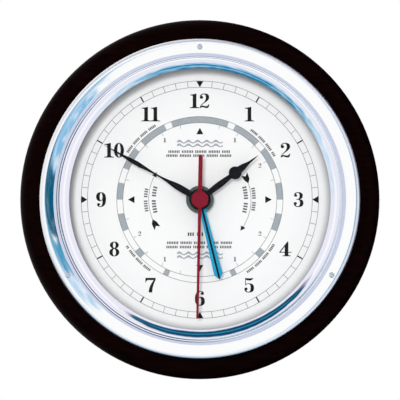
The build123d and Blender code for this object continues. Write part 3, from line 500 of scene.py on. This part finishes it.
def printed(name, shapes, material):
    """A layer of ink on the dial. Each shape is an outline and its holes."""
    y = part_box("dial")[0].y - print_lift
    mesh = bpy.data.meshes.new(name)
    bm = bmesh.new()
    for shape in shapes:
        edges = []
        for loop in shape:
            corners = [bm.verts.new((x, y, z)) for x, z in loop]
            edges += [bm.edges.new((a, b)) for a, b in zip(corners, corners[1:] + corners[:1])]
        bmesh.ops.triangle_fill(bm, edges=edges, use_beauty=True, normal=(0, -1, 0))
    for face in bm.faces:
        if face.normal.y > 0:
            face.normal_flip()
    bm.to_mesh(mesh)
    bm.free()
    mesh.materials.append(material)
    piece = add_object(name, mesh)
    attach(piece, "base")


def half_width(node):
    """Half of how wide a node is, which is the radius of a round one."""
    low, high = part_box(node)
    return (high.x - low.x) / 2


def minute_track(size, ink, line_ink):
    """Two thin rings, with a tick for each minute, a bold one each five and a pointer each fifteen."""
    outer, inner = size * track_outer_share, size * track_inner_share
    line = size * thin_line_share
    thin = [thin_ring(radius, line) for radius in (inner, outer)]
    bold = []
    for minute in range(60):
        angle = minute * 360 / 60
        if minute % 15 == 0:
            bold.append(pointer(outer, inner, angle, size * quarter_mark_share))
        elif minute % 5 == 0:
            bold.append(tick(inner, outer, angle, size * hour_tick_share))
        else:
            thin.append(tick(inner, outer, angle, line))
    printed("minute_track", thin, line_ink)
    printed("hour_marks", bold, ink)


def hour_numerals(size, ink):
    shapes = []
    for hour in range(1, 13):
        place = on_dial(size * numeral_place_share, hour * 360 / 12)
        shapes += number(str(hour), size * numeral_height_share, place)
    printed("hour_numerals", shapes, ink)


def tide_ring(size, grey_ink, line_ink, pale_ink):
    """Two thin rings with grey stretches between them and pale ticks inside."""
    outer, inner = size * tide_ring_outer_share, size * tide_ring_inner_share
    line = size * thin_line_share
    printed("tide_ring_lines", [thin_ring(radius, line) for radius in (inner, outer)], line_ink)
    stretches = []
    for start, end in tide_stretches:
        if start == 0:
            stretches.append(sector(inner, outer, -end, end))
        else:
            stretches.append(sector(inner, outer, start, end))
            stretches.append(sector(inner, outer, -end, -start))
    printed("tide_ring_stretches", stretches, grey_ink)
    angles = [angle for angle in range(0, 360, tide_tick_step) if angle % 90]
    start, width = inner - size * tide_tick_share, size * tide_tick_width_share
    printed("tide_ticks", [tick(start, inner - line, angle, width) for angle in angles], pale_ink)


def tide_figures(size, ink):
    """The small numbers inside the tide ring, and the pointers at its quarters."""
    numbers = []
    for angle, text in tide_numbers:
        for side in (-1, 1):
            place = on_dial(size * tide_number_place_share, side * angle)
            numbers += number(text, size * tide_number_height_share, place)
    printed("tide_numbers", numbers, ink)
    base, tip = size * inner_mark_base_share, size * inner_mark_tip_share
    width = size * inner_mark_width_share
    marks = [pointer(base, tip, angle, width) for angle in range(0, 360, 90)]
    printed("tide_quarter_marks", marks, ink)


def arrow(start, end, size):
    """A thin arc with a head at its end and a feathered tail. Returns (arc, head and tail)."""
    radius = size * arrow_arc_share
    line = size * thin_line_share
    way = 1 if end > start else -1
    head = size * arrow_head_share
    tip = on_dial(radius, end + way * degrees(head / radius))
    foot = [on_dial(radius + side * head / 2, end) for side in (1, -1)]
    feathers = []
    for side in (1, -1):
        loop = []
        for along, off in feather_shares:
            back = start + way * degrees((feather_reach_share - along) * size / radius)
            loop.append(on_dial(radius + side * off * size, back))
        feathers.append([loop])
    arc = sector(radius - line / 2, radius + line / 2, start, end)
    return arc, [[[tip] + foot]] + feathers


def drawn_bars(count, group):
    """The bars of a row that are drawn. One is missing after each group."""
    return [i for i in range(count) if i % (group + 1) != group]


def bar_row(radius, start, end, height):
    """A curved row of short bars in groups."""
    pitch = height * bar_pitch_share
    step = degrees(pitch / radius)
    inner, outer = radius - height / 2, radius + height / 2
    bars = drawn_bars(int((end - start) / step), curved_group)
    return [tick(inner, outer, start + (i + 0.5) * step, pitch * bar_width_share) for i in bars]


def straight_row(centre_z, width, height, group):
    """A straight row of short bars in groups, centred under 12."""
    pitch = height * bar_pitch_share
    low, high = centre_z - height / 2, centre_z + height / 2
    shapes = []
    for i in drawn_bars(int(width / pitch), group):
        left = i * pitch - width / 2
        right = left + pitch * bar_width_share
        shapes.append([[(left, low), (right, low), (right, high), (left, high)]])
    return shapes


def wave(centre_z, size):
    """A band in the shape of a row of waves, thicker at its crests."""
    steps = wave_crests * wave_steps
    upper, lower = [], []
    for i in range(steps + 1):
        turn = 2 * pi * wave_crests * i / steps
        x = size * wave_width_share * (i / steps - 0.5)
        z = centre_z + size * wave_height_share / 2 * sin(turn)
        half = size * wave_thick_share / 2 * (1 + wave_swell * sin(turn))
        upper.append((x, z + half))
        lower.append((x, z - half))
    return [upper + lower[::-1]]


def tide_arrows(size, ink, line_ink):
    """Arrows for the falling and the rising tide, each between two curved rows of bars."""
    arcs, heads = [], []
    for start, end in (falling_arc, rising_arc):
        arc, shapes = arrow(start, end, size)
        arcs.append(arc)
        heads += shapes
    printed("tide_arrow_arcs", arcs, line_ink)
    printed("tide_arrow_heads", heads, ink)
    rows = []
    for middle in (90, 270):
        for place, height, half in (inner_row, outer_row):
            rows += bar_row(size * place, middle - half, middle + half, size * height)
    printed("tide_arc_rows", rows, line_ink)


def tide_rows(size, ink, grey_ink):
    """Rows of bars outside the tide ring, and pairs of waves and straight rows inside it."""
    curved = []
    for start, end in curved_rows:
        curved += bar_row(size * curved_row[0], start, end, size * curved_row[1])
    printed("tide_curved_rows", curved, ink)
    gap = size * wave_gap_share / 2
    places = [side * size * wave_place_share + offset for side in (1, -1) for offset in (-gap, gap)]
    printed("tide_waves", [wave(place, size) for place in places], grey_ink)
    rules = []
    for place, length, height, group in straight_rows:
        rules += straight_row(size * place, size * length, size * height, group)
    printed("tide_rules", rules, ink)


def print_dial():
    """All the print of the dial, in four inks."""
    size = half_width("dial")
    ink, line_ink, grey_ink, pale_ink = map(finish, ("black_ink", "line_ink", "grey_ink", "pale_ink"))
    minute_track(size, ink, line_ink)
    hour_numerals(size, ink)
    tide_ring(size, grey_ink, line_ink, pale_ink)
    tide_figures(size, ink)
    tide_arrows(size, ink, line_ink)
    tide_rows(size, ink, grey_ink)


def half_outline(node):
    """The outline of a turned node at 3 o'clock, in order, as (radius, y)."""
    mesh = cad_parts[node].data
    at_three = {corner.index for corner in mesh.vertices
                if abs(corner.co.z) < same_point and corner.co.x > 0}
    places = [tuple(round(value / same_point) for value in corner.co) for corner in mesh.vertices]
    beside = {}
    for edge in mesh.edges:
        first, second = [places[i] for i in edge.vertices]
        if at_three.issuperset(edge.vertices) and first != second:
            beside.setdefault(first, set()).add(second)
            beside.setdefault(second, set()).add(first)
    start = here = min(beside)
    before, outline = None, []
    while before is None or here != start:
        outline.append((here[0] * same_point, here[1] * same_point))
        before, here = here, next(corner for corner in sorted(beside[here]) if corner != before)
    return outline


def face_out(mesh):
    """Turn the faces so that their front sides look out of the solid."""
    bm = bmesh.new()
    bm.from_mesh(mesh)
    if bm.calc_volume(signed=True) < 0:
        bmesh.ops.reverse_faces(bm, faces=bm.faces)
    bm.to_mesh(mesh)
    bm.free()


def turned_mesh(name, outline):
    """An outline of (radius, y), turned about the hands' axis in fine steps."""
    count = len(outline)
    corners, faces = [], []
    for step in range(turned_steps):
        turn = 2 * pi * step / turned_steps
        corners += [(radius * cos(turn), y, radius * sin(turn)) for radius, y in outline]
        near, far = step * count, (step + 1) % turned_steps * count
        for i in range(count):
            following = (i + 1) % count
            faces.append((near + i, near + following, far + following, far + i))
    mesh = bpy.data.meshes.new(name)
    mesh.from_pydata(corners, [], faces)
    mesh.validate()
    face_out(mesh)
    mesh.shade_smooth()
    mesh.set_sharp_from_angle(angle=radians(sharp_angle))
    return mesh


def turned_again(node, material):
    """The same turned form with more and smoother facets, for a mirror finish."""
    mesh = turned_mesh(node + "_polished", half_outline(node))
    mesh.materials.append(material)
    piece = add_object(node + "_polished", mesh)
    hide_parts(node)
    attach(piece, "base")


# Materials

def new_material(name):
    """Returns (material, its node tree, its shader)."""
    material = bpy.data.materials.new(name)
    material.use_nodes = True
    return material, material.node_tree, material.node_tree.nodes["Principled BSDF"]


def set_plain(shader, values):
    """Give the shader's own sockets the values that are the same all over."""
    for socket, value in values.items():
        shader.inputs[socket].default_value = value


def link_looks(tree, shader, colour, rough):
    tree.links.new(colour, shader.inputs["Base Color"])
    tree.links.new(rough, shader.inputs["Roughness"])


def coordinates(tree, kind="Object"):
    """X, Y and Z of a point of the piece, which moves with it, or of a direction of the world."""
    place = tree.nodes.new("ShaderNodeTexCoord")
    parts = tree.nodes.new("ShaderNodeSeparateXYZ")
    tree.links.new(place.outputs[kind], parts.inputs["Vector"])
    return parts.outputs


def off_axis(tree):
    """How far a point of the piece is from the hands' axis."""
    place = tree.nodes.new("ShaderNodeTexCoord")
    flatten = tree.nodes.new("ShaderNodeVectorMath")
    flatten.operation = "MULTIPLY"
    flatten.inputs[1].default_value = (1, 0, 1)
    length = tree.nodes.new("ShaderNodeVectorMath")
    length.operation = "LENGTH"
    tree.links.new(place.outputs["Object"], flatten.inputs[0])
    tree.links.new(flatten.outputs["Vector"], length.inputs[0])
    return length.outputs["Value"]


def towards(tree, x, z):
    """How far a point of the piece is from the axis, measured towards a point (x, z) one unit away."""
    place = tree.nodes.new("ShaderNodeTexCoord")
    dot = tree.nodes.new("ShaderNodeVectorMath")
    dot.operation = "DOT_PRODUCT"
    dot.inputs[1].default_value = (x, 0, z)
    tree.links.new(place.outputs["Object"], dot.inputs[0])
    return dot.outputs["Value"]


def together(tree, values):
    """Three values as one vector."""
    vector = tree.nodes.new("ShaderNodeCombineXYZ")
    for socket, value in zip(vector.inputs, values):
        tree.links.new(value, socket)
    return vector.outputs["Vector"]


def noise(tree, point, stretch, scale=1.0, detail=noise_detail):
    """A noise round a half. It is finer along an axis that is stretched more."""
    mapping = tree.nodes.new("ShaderNodeMapping")
    mapping.inputs["Scale"].default_value = stretch
    texture = tree.nodes.new("ShaderNodeTexNoise")
    texture.inputs["Scale"].default_value = scale
    texture.inputs["Detail"].default_value = detail
    tree.links.new(point, mapping.inputs["Vector"])
    tree.links.new(mapping.outputs["Vector"], texture.inputs["Vector"])
    return texture.outputs["Fac"]


def grain(tree, scale, stretch=(1, 1, 1), detail=noise_detail):
    """A noise in the piece's own coordinates, which keeps its place when the piece moves."""
    place = tree.nodes.new("ShaderNodeTexCoord")
    return noise(tree, place.outputs["Object"], stretch, scale, detail)


def between(tree, factor, low, high):
    """Two colours, mixed by a factor. A colour is three numbers or another node's output."""
    mix = tree.nodes.new("ShaderNodeMix")
    mix.data_type = "RGBA"
    tree.links.new(factor, mix.inputs["Factor"])
    for socket, colour in (("A", low), ("B", high)):
        if isinstance(colour, tuple):
            mix.inputs[socket].default_value = (*colour, 1)
        else:
            tree.links.new(colour, mix.inputs[socket])
    return mix.outputs["Result"]


def mapped(tree, value, source, target, shape):
    """A value, taken from one range to another and kept inside it."""
    span = tree.nodes.new("ShaderNodeMapRange")
    span.interpolation_type = shape
    ends = zip(("From Min", "From Max", "To Min", "To Max"), (*source, *target))
    for socket, end in ends:
        span.inputs[socket].default_value = end
    tree.links.new(value, span.inputs["Value"])
    return span.outputs["Result"]


def spread(tree, factor, low, high):
    """A noise's middle stretch, spread over a range of values."""
    return mapped(tree, factor, noise_middle, (low, high), "LINEAR")


def ramp(tree, value, low, high):
    """0 below low and 1 above high, or the other way round where low is the larger."""
    if low < high:
        return mapped(tree, value, (low, high), (0, 1), "SMOOTHSTEP")
    return mapped(tree, value, (high, low), (1, 0), "SMOOTHSTEP")


def math_node(tree, operation, *values):
    """One operation on numbers and on other nodes' outputs."""
    node = tree.nodes.new("ShaderNodeMath")
    node.operation = operation
    for socket, value in zip(node.inputs, values):
        if isinstance(value, (int, float)):
            socket.default_value = value
        else:
            tree.links.new(value, socket)
    return node.outputs[0]


def within(tree, value, low, high):
    """1 between low and high, and 0 elsewhere."""
    above = math_node(tree, "GREATER_THAN", value, low)
    below = math_node(tree, "LESS_THAN", value, high)
    return math_node(tree, "MULTIPLY", above, below)


def roughen(tree, shader, factor, height):
    """A relief of a height from a noise."""
    bump = tree.nodes.new("ShaderNodeBump")
    bump.inputs["Distance"].default_value = height
    tree.links.new(factor, bump.inputs["Height"])
    tree.links.new(bump.outputs["Normal"], shader.inputs["Normal"])


def finish(name, stretch=(1, 1, 1), height=plain_relief):
    """A surface whose colour, gloss and relief vary a little with one fine noise."""
    low, high, rough, scale, values = plain_finishes[name]
    material, tree, shader = new_material(name)
    set_plain(shader, values)
    factor = grain(tree, scale, stretch)
    colour = between(tree, spread(tree, factor, 0, 1), low, high)
    link_looks(tree, shader, colour, spread(tree, factor, *rough))
    roughen(tree, shader, factor, height)
    return material


def with_seams(tree, colour, radius, size):
    """A colour of the ring, crossed by its painted dark lines: painted reflections and painted shadow."""
    for share, half, middle, tint in painted_dark_lines:
        off = math_node(tree, "ABSOLUTE", math_node(tree, "SUBTRACT", radius, size * share))
        thin = ramp(tree, off, size * half, size * half / 2)
        cosine = math_node(tree, "DIVIDE", towards(tree, *on_dial(1, middle)), radius)
        dark = math_node(tree, "MULTIPLY", ramp(tree, cosine, *dark_line_fade), thin)
        colour = between(tree, dark, colour, tint)
    return colour


def polished_chrome():
    """Polished, with fine marks, painted dark lines, a duller flat step with a painted reflection, a satin
    edge.
    """
    material, tree, shader = new_material("polished_chrome")
    set_plain(shader, metal)
    size = half_width("bezel_ring")
    radius = off_axis(tree)
    parts = coordinates(tree)
    turned = together(tree, (parts["X"], radius, parts["Z"]))
    factor = noise(tree, turned, chrome_marks, detail=chrome_detail)
    dull_step_and_reflection = within(tree, radius, *[size * share for share in dull_step_shares])
    edge = ramp(tree, radius, *[size * share for share in satin_edge_shares])
    # The flat step's lavender tint is a painted reflection.
    colour = between(tree, dull_step_and_reflection, between(tree, factor, *chrome_colours), painted_step_reflection)
    rough = math_node(tree, "MULTIPLY_ADD", dull_step_and_reflection, dull_step_rough, spread(tree, factor, *chrome_rough))
    rough = math_node(tree, "MULTIPLY_ADD", edge, satin_edge_rough, rough)
    # The dark lines are painted reflections and painted shadow, darkest towards their own clock angles.
    link_looks(tree, shader, with_seams(tree, colour, radius, size), rough)
    roughen(tree, shader, factor, chrome_relief)
    return material


def black_lacquer():
    """A near-black red brown stain under lacquer. The sides are lighter, a painted sheen that shows their
    grain.
    """
    material, tree, shader = new_material("black_lacquer")
    set_plain(shader, lacquer_values)
    factor = grain(tree, *wood_grain)
    low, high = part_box("wood_base")
    depths = [low.y + (high.y - low.y) * share for share in painted_sheen_shares]
    # Painted sheen: the sides are lighter than the front.
    behind = ramp(tree, coordinates(tree)["Y"], *depths)
    grained = spread(tree, factor, 0, 1)
    front, side = [between(tree, grained, *stain) for stain in (front_stain, side_stain_and_sheen)]
    link_looks(tree, shader, between(tree, behind, front, side), spread(tree, factor, *lacquer_rough))
    roughen(tree, shader, factor, wood_relief)
    return material


def window_glass():
    """A clear pane: mostly open, with a little gloss."""
    material, tree, shader = new_material("window_glass")
    set_plain(shader, glass_values)
    factor = grain(tree, glass_grain)
    link_looks(tree, shader, between(tree, factor, *glass_colours), spread(tree, factor, *glass_rough))
    return material


def dial_paint():
    """White paint with a painted shadow that greys it towards the edge."""
    material, tree, shader = new_material("dial_paint")
    set_plain(shader, dial_values)
    size = half_width("dial")
    # Painted shade: the paint greys towards the rim, where the ring's recess shades the dial.
    edge = ramp(tree, off_axis(tree), size * dial_rim_shadow_share, size)
    factor = grain(tree, dial_grain)
    colour = between(tree, edge, between(tree, factor, *dial_colours), painted_rim_shadow)
    link_looks(tree, shader, colour, spread(tree, factor, *dial_rough))
    return material


def node_tip(node):
    """The point of a hand that lies farthest from the axis, as (x, z)."""
    points = [corner.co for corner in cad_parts[node].data.vertices]
    tip = max(points, key=lambda point: hypot(point.x, point.z))
    return tip.x, tip.z


def tide_hand_paint():
    """One painted hand: a grey green hub, a blue blade and a dark stripe along its middle."""
    material, tree, shader = new_material("tide_hand_paint")
    set_plain(shader, tide_hand_values)
    tip_x, tip_z = node_tip("tide_hand")
    reach = hypot(tip_x, tip_z)
    along = towards(tree, tip_x / reach, tip_z / reach)
    wide = math_node(tree, "ABSOLUTE", towards(tree, tip_z / reach, -tip_x / reach))
    in_stripe = math_node(tree, "LESS_THAN", wide, reach * stripe_width_share / 2)
    beyond = math_node(tree, "GREATER_THAN", along, reach * blade_start_share)
    narrow = math_node(tree, "LESS_THAN", wide, reach * blade_width_share / 2)
    on_blade = math_node(tree, "MULTIPLY", beyond, narrow)
    factor = grain(tree, tide_hand_grain)
    striped = between(tree, in_stripe, between(tree, factor, *blade_colours), stripe_colour)
    colour = between(tree, on_blade, tide_hub_colour, striped)
    link_looks(tree, shader, colour, spread(tree, factor, *tide_hand_rough))
    return material


def battery_wrap():
    """A plain wrap with pale bands near one end, and bare steel at both ends."""
    material, tree, shader = new_material("battery_wrap")
    low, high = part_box("battery_cell")
    length = high.x - low.x
    along = math_node(tree, "MULTIPLY_ADD", coordinates(tree)["X"], 1 / length, -low.x / length)
    factor = grain(tree, battery_grain)
    colour = between(tree, factor, *battery_colours)
    for start, end in battery_bands:
        colour = between(tree, within(tree, along, start, end), colour, battery_band_colour)
    off_middle = math_node(tree, "ABSOLUTE", math_node(tree, "SUBTRACT", along, 0.5))
    bare = math_node(tree, "GREATER_THAN", off_middle, 0.5 - battery_bare_share)
    colour = between(tree, bare, colour, battery_bare_colour)
    tree.links.new(bare, shader.inputs["Metallic"])
    link_looks(tree, shader, colour, spread(tree, factor, *battery_rough))
    roughen(tree, shader, factor, battery_relief)
    return material


def dress():
    """Give every node of the frame its finish."""
    finishes = {
        "wood_base": black_lacquer(),
        "glass": window_glass(),
        "dial": dial_paint(),
        "tide_hand": tide_hand_paint(),
        "battery_cell": battery_wrap(),
        "coil_winding": finish("enamelled_copper", winding_stretch, winding_relief),
    }
    for name, nodes in nodes_with.items():
        finishes.update(dict.fromkeys(nodes, finish(name)))
    wheels = finish("wheel_plastic")
    for node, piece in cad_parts.items():
        for place in piece.material_slots:
            place.material = finishes.get(node, wheels)


# Camera, light and surroundings

def add_camera():
    """The photograph's view, with the middle of the board at the photograph's pixel."""
    data = bpy.data.cameras.new("camera")
    camera = add_object("camera", data)
    low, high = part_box("wood_base")
    middle = (low + high) / 2
    aside = (photo_pixels / 2 - object_centre_pixel[0]) * pixel_size
    above = (object_centre_pixel[1] - photo_pixels / 2) * pixel_size
    aim = Vector((middle.x + aside, middle.y, middle.z + above))
    turn, tilt = radians(camera_azimuth), radians(camera_elevation)
    away = Vector((sin(turn) * cos(tilt), -cos(turn) * cos(tilt), sin(tilt)))
    camera.location = aim + away * camera_distance
    camera.rotation_euler = (-away).to_track_quat("-Z", "Y").to_euler()
    data.sensor_width = sensor_width / MM
    data.lens = sensor_width / MM * camera_distance / (photo_pixels * pixel_size)
    data.clip_end = camera_reach
    bpy.context.scene.camera = camera


def add_key():
    """A broad soft lamp that polished metal doesn't show."""
    data = bpy.data.lights.new("key", "SUN")
    data.energy = key_strength
    data.angle = radians(key_spread)
    key = add_object("key", data)
    key.rotation_euler = Vector((-key_side, 1, -key_rise)).to_track_quat("-Z", "Z").to_euler()
    key.visible_glossy = False


def off_slant(tree, slant, near, far):
    """How far a slant is from the middle of a panel. 1 is the panel's edge."""
    half = radians(far - near) / 2
    off = math_node(tree, "MULTIPLY_ADD", slant, 1 / half, -radians(near + far) / 2 / half)
    return math_node(tree, "ABSOLUTE", off)


def off_turn(tree, aside, upward, middle, half):
    """The same for a clock angle, which comes as its sine and cosine."""
    along = math_node(tree, "MULTIPLY", aside, sin(radians(middle)))
    along = math_node(tree, "MULTIPLY_ADD", upward, cos(radians(middle)), along)
    turn = math_node(tree, "ARCCOSINE", math_node(tree, "MINIMUM", along, 1.0))
    return math_node(tree, "MULTIPLY", turn, 1 / radians(half))


def off_both(tree, first, second):
    """Both distances as one, for an oval panel."""
    powers = [math_node(tree, "POWER", value, panel_squareness) for value in (first, second)]
    return math_node(tree, "POWER", math_node(tree, "ADD", *powers), 1 / panel_squareness)


def studio_colour(tree):
    """What polished metal finds round the clock: a white studio with pale and deep blue panels."""
    parts = coordinates(tree, "Generated")
    squares = [math_node(tree, "MULTIPLY", parts[axis], parts[axis]) for axis in "XZ"]
    flat = math_node(tree, "SQRT", math_node(tree, "ADD", *squares))
    slant = math_node(tree, "ARCTAN2", flat, math_node(tree, "MULTIPLY", parts["Y"], -1.0))
    flat = math_node(tree, "MAXIMUM", flat, least_aside)
    aside, upward = [math_node(tree, "DIVIDE", parts[axis], flat) for axis in "XZ"]
    streaks = noise(tree, together(tree, (aside, upward, slant)), panel_streaks)
    ragged = math_node(tree, "SUBTRACT", streaks, 0.5)
    gaps = ramp(tree, ragged, *gap_streaks)
    colour = (1, 1, 1)
    for middle, half, near, far, soft, wild, broken, tint in studio_panels:
        off = off_slant(tree, slant, near, far)
        if half:
            off = off_both(tree, off, off_turn(tree, aside, upward, middle, half))
        inside = ramp(tree, math_node(tree, "MULTIPLY_ADD", ragged, wild, off), 1 + soft, 1 - soft)
        whole = math_node(tree, "MULTIPLY_ADD", gaps, -broken, 1.0)
        colour = between(tree, math_node(tree, "MULTIPLY", inside, whole), colour, tint)
    return colour


def background(tree, strength):
    """White light of one strength from all round."""
    light = tree.nodes.new("ShaderNodeBackground")
    light.inputs["Color"].default_value = (1, 1, 1, 1)
    light.inputs["Strength"].default_value = strength
    return light


def mixed(tree, factor, first, second):
    """Two surfaces or lights, mixed by a factor."""
    mix = tree.nodes.new("ShaderNodeMixShader")
    for socket, value in zip(mix.inputs, (factor, first, second)):
        tree.links.new(value, socket)
    return mix.outputs[0]


def add_world():
    """White to the camera and through glass, an even sky on the clock, the studio in polished metal."""
    world = bpy.data.worlds.new("studio")
    world.use_nodes = True
    bpy.context.scene.world = world
    tree = world.node_tree
    tree.nodes.clear()
    sky, studio, white = background(tree, sky_strength), background(tree, 1.0), background(tree, 1.0)
    tree.links.new(studio_colour(tree), studio.inputs["Color"])
    seen = tree.nodes.new("ShaderNodeLightPath").outputs
    lit = mixed(tree, seen["Is Glossy Ray"], sky.outputs[0], studio.outputs[0])
    clear = math_node(tree, "MAXIMUM", seen["Is Camera Ray"], seen["Is Transmission Ray"])
    output = tree.nodes.new("ShaderNodeOutputWorld")
    tree.links.new(mixed(tree, clear, lit, white.outputs[0]), output.inputs["Surface"])


def floor_paint():
    """Pale paint that polished metal doesn't show: it finds the studio there."""
    material = finish("floor_paint")
    tree = material.node_tree
    seen = tree.nodes.new("ShaderNodeLightPath")
    paint, open_air = tree.nodes["Principled BSDF"], tree.nodes.new("ShaderNodeBsdfTransparent")
    surface = mixed(tree, seen.outputs["Is Glossy Ray"], paint.outputs[0], open_air.outputs[0])
    tree.links.new(surface, tree.nodes["Material Output"].inputs["Surface"])
    return material


def add_floor():
    mesh = bpy.data.meshes.new("floor")
    bm = bmesh.new()
    bmesh.ops.create_circle(bm, cap_ends=True, radius=floor_radius, segments=floor_corners)
    bm.to_mesh(mesh)
    bm.free()
    mesh.materials.append(floor_paint())
    floor = add_object("floor", mesh)
    floor.location.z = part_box("wood_base")[0].z - floor_drop


dress()
turned_again("bezel_ring", polished_chrome())
print_dial()
add_camera()
add_key()
add_world()
add_floor()
bpy.context.scene.view_settings.view_transform = "Standard"
